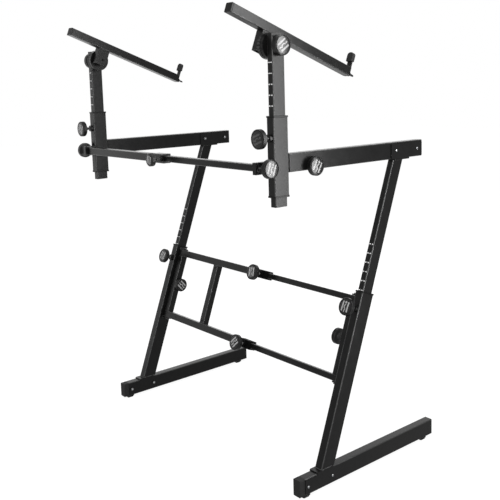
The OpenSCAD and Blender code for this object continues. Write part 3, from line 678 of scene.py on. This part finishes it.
def build_knob(node, turn):
    """Builds drum, stud and disc; returns where the disc lies, its height and its radius."""
    body = body_of[node]
    point, axis = Vector(turn_of[body]["pos_m"]), Vector(turn_of[body]["axis"])
    low, face, radius = span_along(node, point, axis)
    wide_low = span_along(node, point, axis, beyond=WIDER_THAN_STUD)[0]
    tilt = "tilt" in node
    drum = DRUM + (TILT_EXTRA if tilt else 0)
    hub_tip = TILT_HUB_TIP if tilt else HUB_TIP
    hub_end = max(face - drum - HUB_LENGTH, wide_low)
    at = stand_at(point, axis, turn)
    bm = turned(bmesh.new(), drum_profile(face, radius, drum, hub_tip, hub_end), 2 * RIBS, at)
    cut_ribs(bm, radius, at)
    piece(node + "_drum", bm, knob_side, body, "knob_plastic", (node,))
    bm = turned(bmesh.new(), thread_profile(low, hub_end + MM), STUD_SIDES, at)
    piece(node + "_stud", bm, stud_steel, body, "zinc_bolts", weighted=False)
    disc = radius - EDGE_R - SLOPE_W - DISC_GAP
    bm = turned(bmesh.new(), disc_profile(face, disc), DISC_SIDES, at)
    piece(node + "_disc", bm, knob_face, body, "knob_plastic")
    return at, face, disc


knob_places = {node: build_knob(node, math.radians(LEFT_AT[node])) for node in KNOBS}
print(len(knob_places), "knobs, each turned as it was left when it was tightened")

# %% [markdown]
# ## The sign on a knob
# The disc carries a pale print. The real one is the maker's, so ours is a generic sign for
# clamping: two bars, and between them an arc with an arrow head between a minus and a plus.
# Every mark is an outline, drawn in shares of the sign's width and height, so that it fits the
# smaller discs as well.

# %% Draw the clamping sign
PRINT_W, PRINT_H = 31 * MM, 22 * MM


def ring_part(cx, cy, inner, outer, start, end, steps=14):
    angles = [math.radians(start + (end - start) * i / steps) for i in range(steps + 1)]
    out = [(cx + outer * math.cos(a), cy + outer * math.sin(a)) for a in angles]
    back = [(cx + inner * math.cos(a), cy + inner * math.sin(a)) for a in reversed(angles)]
    return out + back


def clamping_sign(w, h):
    """The marks, one outline at a time; the numbers are shares of the sign's size."""
    bar = 0.2 * h
    yield rectangle(0, (h - bar) / 2, w * 0.86, bar)
    yield rectangle(0, (bar - h) / 2, w * 0.86, bar)
    yield ring_part(0, -0.2 * h, 0.24 * h, 0.36 * h, 20, 150)
    tip = (-0.33 * h, -0.19 * h)
    yield [tip, (tip[0] + 0.2 * h, tip[1] + 0.17 * h), (tip[0] - 0.14 * h, tip[1] + 0.2 * h)]
    plus, minus, arm, stroke = 0.36 * w, -0.37 * w, 0.3 * h, 0.12 * h
    yield rectangle(plus, 0, arm, stroke)
    yield rectangle(plus, (arm + stroke) / 4, stroke, (arm - stroke) / 2)
    yield rectangle(plus, -(arm + stroke) / 4, stroke, (arm - stroke) / 2)
    yield rectangle(minus, 0, arm, stroke)


print("the sign has", len(list(clamping_sign(PRINT_W, PRINT_H))), "marks")

# %% [markdown]
# ## Printing it on the domed disc
# Printed ink is thin, so each mark is a slab a twentieth of a millimetre high. An image texture
# would be blurred from near by. The disc is domed, so the slabs are cut into strips and every
# point is lowered to the dome. One knob has a darker print, which paints in the shade on its face.

# %% Print the signs
LIFT, INK = 0.005 * MM, 0.06 * MM
STRIP, STRIPS = 2 * MM, 8
ON_PLANE = 0.0001 * MM
LABELLED_DISC = 18.1 * MM
# the knob whose print is darkened as a painted shade
PAINTED_SHADE_KNOBS = ("near_post_knob",)


def lay_on_dome(bm, face, matrix):
    for normal in (Vector((1, 0, 0)), Vector((0, 1, 0))):
        for i in range(-STRIPS, STRIPS + 1):
            bmesh.ops.bisect_plane(
                bm, geom=bm.verts[:] + bm.edges[:] + bm.faces[:], dist=ON_PLANE,
                plane_co=matrix @ (normal * i * STRIP), plane_no=matrix.to_3x3() @ normal,
            )
    back = matrix.inverted()
    out = matrix.to_3x3().col[2]
    for vert in bm.verts:
        local = back @ vert.co
        vert.co += out * (dome_height(face, math.hypot(local.x, local.y)) - face)


def print_sign(node):
    at, face, disc = knob_places[node]
    size = min(1.0, disc / LABELLED_DISC)
    bm = bmesh.new()
    for outline in clamping_sign(PRINT_W * size, PRINT_H * size):
        slab(bm, outline, face + LIFT, face + INK, at)
    lay_on_dome(bm, face, at)
    ink = print_painted_shade if node in PAINTED_SHADE_KNOBS else print_pale
    piece(node + "_print", bm, ink, body_of[node], "knob_plastic", weighted=False)


for node in KNOBS:
    print_sign(node)
print("each knob has its sign")

# %% [markdown]
# ## Finding the single parts of a solid
# One node can hold several parts that don't touch, such as the two bolts of a saddle. Walking
# from vertex to vertex along the edges collects one part at a time, so the places of the bolts
# needn't be typed.

# %% Walk over the loose parts
def loose_parts(node):
    """The loose parts of a solid, each as a list of points."""
    bm = merged(node)
    found = []
    left = set(bm.verts)
    while left:
        heap, part = [left.pop()], []
        while heap:
            vert = heap.pop()
            part.append(vert.co.copy())
            for edge in vert.link_edges:
                other = edge.other_vert(vert)
                if other in left:
                    left.remove(other)
                    heap.append(other)
        found.append(part)
    bm.free()
    return found


print("a saddle has", len(loose_parts(BOLTS[0])), "bolts")

# %% [markdown]
# ## Bolt heads with a socket, and nuts
# A saddle is held by two domed bolts with a hexagon socket, and by a nut on the other side. A
# boolean could cut the socket, but it leaves long thin faces. So the dome is spun with an open
# top, a hexagon is bridged into the opening and extruded down.

# %% Make a bolt and a nut
HEAD_R, HEAD_H = 3.5 * MM, 1.9 * MM
HEAD_LIP = 0.5 * MM
SHANK_R = 2.9 * MM
SOCKET_R, SOCKET_DEEP = 1.7 * MM, 1.4 * MM
DOME_ANGLES = [math.radians(angle) for angle in (18, 36, 54, 72, 90)]
NUT_R, NUT_H = 5.7 * MM, 3.4 * MM
NUT_CHAMFER = 0.5 * MM


def hexagon(bm, radius, height, matrix, filled):
    """The vertices of a hexagon across the axis."""
    return bmesh.ops.create_circle(
        bm, cap_ends=filled, radius=radius, segments=6,
        matrix=matrix @ Matrix.Translation((0, 0, height)),
    )["verts"]


def edges_at(verts):
    return list({edge for vert in verts for edge in vert.link_edges})


def bolt_profile(tail, top):
    """A shank and a domed head; the head stays open at the top."""
    seat = top - HEAD_H
    wide, tall = HEAD_R - SOCKET_R - HEAD_LIP, HEAD_H - HEAD_LIP
    rows = [(tail, 0), (tail, SHANK_R - HEAD_LIP), (tail + HEAD_LIP, SHANK_R)]
    rows += [(seat, SHANK_R), (seat, HEAD_R), (seat + HEAD_LIP, HEAD_R)]
    return rows + [
        (seat + HEAD_LIP + tall * math.sin(a), SOCKET_R + HEAD_LIP + wide * math.cos(a))
        for a in DOME_ANGLES
    ]


def sink_socket(bm, height, matrix):
    opening = [edge for edge in bm.edges if edge.is_boundary]
    rim = edges_at(hexagon(bm, SOCKET_R, height, matrix, filled=False))
    bmesh.ops.bridge_loops(bm, edges=opening + rim)
    grown = bmesh.ops.extrude_edge_only(bm, edges=rim)["geom"]
    bmesh.ops.translate(
        bm, verts=verts_of(grown), vec=matrix.to_3x3() @ Vector((0, 0, -SOCKET_DEEP))
    )
    floor_edges = [
        part for part in grown if isinstance(part, bmesh.types.BMEdge) and part.is_boundary
    ]
    bmesh.ops.holes_fill(bm, edges=floor_edges, sides=0)


def add_nut(bm, low, matrix):
    made = hexagon(bm, NUT_R, low, matrix, filled=True)
    face = made[0].link_faces[0]
    top = lift_face(bm, face, matrix.to_3x3() @ Vector((0, 0, NUT_H)))
    soften(bm, edges_at(list(made) + top), NUT_CHAMFER)


print("a bolt's socket is", round(SOCKET_R * math.sqrt(3) / MM, 1), "mm across its flats")

# %% [markdown]
# ## Setting the bolts
# Every bolt stands square to the side frame. Its head looks outwards, to +X on the far side and
# to -X on the near one, and its nut sits on the inner side of the saddle.

# %% Build the bolts of each saddle
NUT_STAND = 0.4 * MM
BOLT_SIDES = 24


def join_into(whole, one):
    """Adds a finished bmesh to another."""
    carrier = bpy.data.meshes.new("bolt")
    one.to_mesh(carrier)
    one.free()
    whole.from_mesh(carrier)
    bpy.data.meshes.remove(carrier)


def build_bolts(node):
    outward = 1 if node.startswith("far") else -1
    heads, nuts = bmesh.new(), bmesh.new()
    for part in loose_parts(node):
        low, high = ([pick(p[i] for p in part) for i in range(3)] for pick in (min, max))
        y, z = (low[1] + high[1]) / 2, (low[2] + high[2]) / 2
        top, tail = (high[0], low[0]) if outward > 0 else (-low[0], -high[0])
        at = stand_at(Vector((0, y, z)), (outward, 0, 0))
        one = turned(bmesh.new(), bolt_profile(tail, top), BOLT_SIDES, at)
        sink_socket(one, top, at)
        join_into(heads, one)
        add_nut(nuts, tail + NUT_STAND, at)
    body = body_of[node]
    piece(node + "_turned", heads, zinc, body, "zinc_bolts", (node,), weighted=False)
    piece(node + "_nuts", nuts, black_zinc, body, "zinc_bolts", weighted=False)


for node in BOLTS:
    build_bolts(node)
print(len(BOLTS), "pairs of bolts")

# %% [markdown]
# ## A weld as a row of drops
# A weld bead is a row of small overlapping ripples. Bump could hint at them, but a bead stands
# out of the corner and shows in the outline, so one drop of metal is repeated along each line.

# %% Lay drops along a line
DROP_R, DROP_PITCH = 1.5 * MM, 2.1 * MM
DROP_STRETCH = 1.15
DROP_OUT = 0.2 * MM


def row_of_drops(beads, start, end, out):
    stand = stand_at((0, 0, 0), end - start)
    stretch = Matrix.Diagonal((1, 1, DROP_STRETCH, 1))
    drops = round((end - start).length / DROP_PITCH)
    for i in range(drops):
        at = start + (end - start) * ((i + 0.5) / drops) + out * DROP_OUT
        bmesh.ops.create_icosphere(
            beads, subdivisions=2, radius=DROP_R,
            matrix=Matrix.Translation(at) @ stand @ stretch,
        )


def weld(node, lines):
    beads = bmesh.new()
    length = 0.0
    for start, end, out in lines:
        row_of_drops(beads, start, end, out)
        length += (end - start).length
    print(node, "has", round(length / MM), "mm of weld")
    piece(node + "_welds", beads, powder, body_of[node], slot_of[node], weighted=False)


print("a drop every", DROP_PITCH / MM, "mm")

# %% [markdown]
# ## Welds of the legs
# Where a leg meets its saddle, the two are welded. Such a line is an inward corner of the solid
# that can be seen from outside, and that is how we find it: a ray from it, halfway between its
# two faces, gets away. Inside a tube the ray would hit the other wall.

# %% Weld the legs to their saddles
WELDED = [side + end for side in SIDES for end in ("_leg_outer", "_leg_inner")]
SHORTEST, LONGEST = 8 * MM, 62 * MM
CORNER = math.radians(60)
CLEAR_WAY = 150 * MM


def weld_lines(bm):
    """The inward corners that see the open air, each with the direction between its faces."""
    tree = BVHTree.FromBMesh(bm)
    for edge in bm.edges:
        if len(edge.link_faces) != 2 or edge.is_convex:
            continue
        if not SHORTEST < edge.calc_length() < LONGEST or edge.calc_face_angle(0.0) < CORNER:
            continue
        out = (edge.link_faces[0].normal + edge.link_faces[1].normal).normalized()
        start, end = (vert.co.copy() for vert in edge.verts)
        if tree.ray_cast((start + end) / 2 + out * MM, out, CLEAR_WAY)[0] is None:
            yield start, end, out


for node in WELDED:
    solid = merged(node)
    weld(node, weld_lines(solid))
    solid.free()

# %% [markdown]
# ## Welds of the brace
# The brace between the two crossbars is a loose part of their node, so there is no corner to
# find. Its welds run round its two ends instead. It stands along the leg's lean, so we turn it
# upright, read its box, and turn the lines back.

# %% Weld the brace to the crossbars
def brace_lines():
    """The four sides of the brace at each of its ends, where it stands on a crossbar."""
    frame_of = Matrix((Vector((1, 0, 0)), OFF_LEG, UP_LEG))
    boxes = []
    for part in loose_parts("crossbar_outers"):
        local = [frame_of @ point for point in part]
        boxes.append([[pick(p[i] for p in local) for i in range(3)] for pick in (min, max)])
    low, high = max(boxes, key=lambda box: box[1][2] - box[0][2])
    back = frame_of.transposed()
    sides = [(low[0], low[1]), (high[0], low[1]), (high[0], high[1]), (low[0], high[1])]
    for level in (low[2], high[2]):
        corners = [Vector((x, y, level)) for x, y in sides]
        centre = sum(corners, Vector()) / 4
        for one, other in zip(corners, corners[1:] + corners[:1]):
            out = ((one + other) / 2 - centre).normalized()
            trim = (other - one).normalized() * DROP_R
            yield back @ (one + trim), back @ (other - trim), back @ out


weld("crossbar_outers", brace_lines())

# %% [markdown]
# ## The face that the index marks are on
# The inner leg and the post carry printed index marks. They lie on the broadest flat face on
# one side of the tube, so we add up the areas of its triangles by height and take the highest
# face that is large enough. Its reach across tells how wide the rows are.

# %% Find a tube's flat face
SAME_HEIGHT = 0.05 * MM
SAME_WAY = 0.9999


def reach_of(node, direction):
    values = [vert.co.dot(direction) for vert in frame["nodes"][node].data.vertices]
    return min(values), max(values)


def broadest_face(node, outwards, across):
    """The height of a solid's outer flat face on one side, and how far it reaches across."""
    mesh = frame["nodes"][node].data
    found = {}
    for polygon in mesh.polygons:
        if polygon.normal.dot(outwards) > SAME_WAY:
            height = round(polygon.center.dot(outwards) / SAME_HEIGHT)
            area, points = found.get(height, (0.0, []))
            corners = [mesh.vertices[i].co for i in polygon.vertices]
            found[height] = (area + polygon.area, points + corners)
    enough = max(area for area, _ in found.values()) / 2
    highest = max(height for height, (area, _) in found.items() if area > enough)
    points = found[highest][1]
    reaches = [point.dot(across) for point in points]
    return points[0].dot(outwards), min(reaches), max(reaches)


print("the top of the far sleeve is at", round(reach_of("far_post_sleeve", UP)[1], 3), "m")

# %% [markdown]
# ## Index marks
# Both frames are set alike by their index marks, one row every 25 mm: a bright tick at each
# edge of the face with a faint line between. Two rows of the post are full lines. The rows
# start just above the rim that they are read against.

# %% Print the index marks
INDEX_PITCH, INDEX_ROWS = 25 * MM, 6
TICK_W, TICK_H = 5.2 * MM, 2.6 * MM
LINE_H, FULL_H = 0.5 * MM, 1.9 * MM


def index_marks(name, inner, outer, along, outwards, first, full_rows=()):
    along, outwards = along.normalized(), outwards.normalized()
    across = along.cross(outwards)
    rim = reach_of(outer, along)[1]
    face, left, right = broadest_face(inner, outwards, across)
    middle, half = (left + right) / 2, (right - left) / 2
    at = Matrix((across, along, outwards)).transposed().to_4x4()
    ticks, lines = bmesh.new(), bmesh.new()

    def mark(bm, x, height, w, h):
        slab(bm, rectangle(x, height, w, h), face + LIFT, face + INK, at)

    for row in range(INDEX_ROWS):
        height = rim + first + row * INDEX_PITCH
        if row in full_rows:
            mark(ticks, middle, height, 2 * half, FULL_H)
            continue
        for side in (-1, 1):
            mark(ticks, middle + side * (half - TICK_W / 2), height, TICK_W, TICK_H)
        mark(lines, middle, height, 2 * half - 2 * TICK_W, LINE_H)
    body = body_of[inner]
    piece(name + "_ticks", ticks, print_white, body, "black_steel", weighted=False)
    piece(name + "_lines", lines, print_faint, body, "black_steel", weighted=False)


for side in SIDES:
    index_marks(
        side + "_leg_index", side + "_leg_inner", side + "_leg_outer",
        UP_LEG, OFF_LEG, 7 * MM,
    )
    index_marks(
        side + "_post_index", side + "_post_inner", side + "_post_sleeve",
        UP, Vector((0, 1, 0)), 2.5 * MM, full_rows=(4, 5),
    )
print(INDEX_ROWS, "rows on each leg and each post")

# %% [markdown]
# ## The camera of the photograph
# The lens and the place of the camera were solved from straight edges of the stand. The picture
# was cropped a little off the optical axis, which the vertical shift restores; turning the
# camera instead would make the upright tubes lean.

# %% Place the camera
SENSOR = 36.0
IMAGE = 500.0
FOCAL_PX = 766.31
AXIS_ROW = 190.15
YAW, PITCH_ANGLE, ROLL = (math.radians(a) for a in (-39.32, -7.95, -1.64))
CAMERA_AT = Vector((-1.77985, 1.42366, 1.04991))
NEAREST, FARTHEST = 0.05, 60

forward = Vector((
    math.cos(PITCH_ANGLE) * math.cos(YAW),
    math.cos(PITCH_ANGLE) * math.sin(YAW),
    math.sin(PITCH_ANGLE),
))
level = forward.cross(UP).normalized()
upright = level.cross(forward)
right = level * math.cos(ROLL) + upright * math.sin(ROLL)
above = upright * math.cos(ROLL) - level * math.sin(ROLL)

camera_data = bpy.data.cameras.new("camera")
camera_data.sensor_width = SENSOR
camera_data.lens = FOCAL_PX / IMAGE * SENSOR
camera_data.shift_y = (AXIS_ROW - IMAGE / 2) / IMAGE
camera_data.clip_start, camera_data.clip_end = NEAREST, FARTHEST
camera = bpy.data.objects.new("camera", camera_data)
bpy.context.scene.collection.objects.link(camera)
camera.matrix_world = Matrix.Translation(CAMERA_AT) @ Matrix(
    (right, above, -forward)
).transposed().to_4x4()
bpy.context.scene.camera = camera
print("lens", round(camera_data.lens, 2), "mm, shift", round(camera_data.shift_y, 4))

# %% [markdown]
# ## Floor and sky
# A black stand shows its form mainly by what it reflects, and it stood in a white room. Floor
# and sky are white for the camera and for gloss only. As light they are a dim grey, because a
# room that lit as brightly as it looks would wash the black out. The floor keeps a little
# shadow near the stand.

# %% Build the white room
FLOOR_HALF = 12.0
FLOOR_COLOUR, FLOOR_ROUGH = 0.25, 0.9
LIT_RADIUS, SHADE_RADIUS, FADE = 0.9, 1.2, 1.2
FLOOR_LIGHT, SHADED_WHITE = 0.05, 0.9
SKY_LIGHT = 0.06
LENGTH_VALUE = 1
LIGHT_PATH_RAYS = {"camera": 0, "glossy": 3, "transmission": 6}


def seen_by(start):
    """1 for the camera and for rays that a gloss or a glass sends on, 0 for light that falls."""
    rays = [
        start.node("ShaderNodeLightPath", output=i) for i in LIGHT_PATH_RAYS.values()
    ]
    return (rays[0] + rays[1] + rays[2]).clamp()


bm = bmesh.new()
bmesh.ops.create_grid(bm, x_segments=1, y_segments=1, size=FLOOR_HALF)
floor_data = bpy.data.meshes.new("floor")
bm.to_mesh(floor_data)
bm.free()
floor = bpy.data.objects.new("floor", floor_data)
bpy.context.scene.collection.objects.link(floor)
floor_material = bpy.data.materials.new("floor")
floor_material.use_nodes = True
tree = floor_material.node_tree
shader = tree.nodes["Principled BSDF"]
shader.inputs["Base Color"].default_value = (*grey(FLOOR_COLOUR), 1)
shader.inputs["Roughness"].default_value = FLOOR_ROUGH
shader.inputs["Specular IOR Level"].default_value = 0.0
shader.inputs["Emission Strength"].default_value = 1.0
start = Wire(tree, None)
place = start.node("ShaderNodeTexCoord", output=OBJECT_PLACE)
reach = start.node(
    "ShaderNodeVectorMath", {"operation": "LENGTH"}, output=LENGTH_VALUE, Vector=place
)
glow = reach.above(LIT_RADIUS, FADE).mix(grey(FLOOR_LIGHT), grey(0.0))
shown = reach.above(SHADE_RADIUS, FADE).mix(grey(SHADED_WHITE), grey(1.0))
plug(tree, shader.inputs["Emission Color"], seen_by(start).mix(glow, shown))
floor_data.materials.append(floor_material)

world = bpy.data.worlds.new("studio")
bpy.context.scene.world = world
world.use_nodes = True
sky = world.node_tree
seen = seen_by(Wire(sky, None))
plug(sky, sky.nodes["Background"].inputs["Color"], seen.mix(grey(SKY_LIGHT), grey(1.0)))
print("the floor reaches", FLOOR_HALF, "m each way")

# %% [markdown]
# ## Softboxes
# A tall softbox beside the near frame draws the bright bands on the faces that look at it. It
# is seen by reflection only, so that it doesn't lift the rest. A wide one overhead lights the
# tops, and three more fill the front, the right and the back. Area lamps stand for softboxes,
# because a gloss shows their shape.

# %% Hang the softboxes
def softbox(name, at, towards, width, height, power, diffuse=True):
    data = bpy.data.lights.new(name, "AREA")
    data.shape = "RECTANGLE"
    data.size, data.size_y = width, height
    data.energy = power
    lamp = bpy.data.objects.new(name, data)
    bpy.context.scene.collection.objects.link(lamp)
    lamp.location = at
    lamp.rotation_mode = "QUATERNION"
    lamp.rotation_quaternion = (Vector(towards) - Vector(at)).to_track_quat("-Z", "Y")
    lamp.visible_camera = False
    lamp.visible_diffuse = diffuse


softbox("side_softbox", (-1.1, -0.19, 1.2), (-0.43, 0.19, 1.2), 0.3, 2.0, 48, diffuse=False)
softbox("top_softbox", (-0.2, 0.1, 2.9), (0, 0, 0.9), 2.4, 2.0, 40)
softbox("right_softbox", (1.1, 0.68, 0.75), (0.1, 0.0, 0.75), 0.7, 1.4, 3.2)
softbox("front_softbox", (-2.6, 2.1, 1.35), (0, 0, 0.7), 0.5, 1.4, 75)
softbox("backdrop_glow", (1.4, -1.15, 1.0), (0, 0, 0.9), 3.0, 2.2, 20)
bpy.context.scene.view_settings.view_transform = "Standard"
print("five softboxes hang")
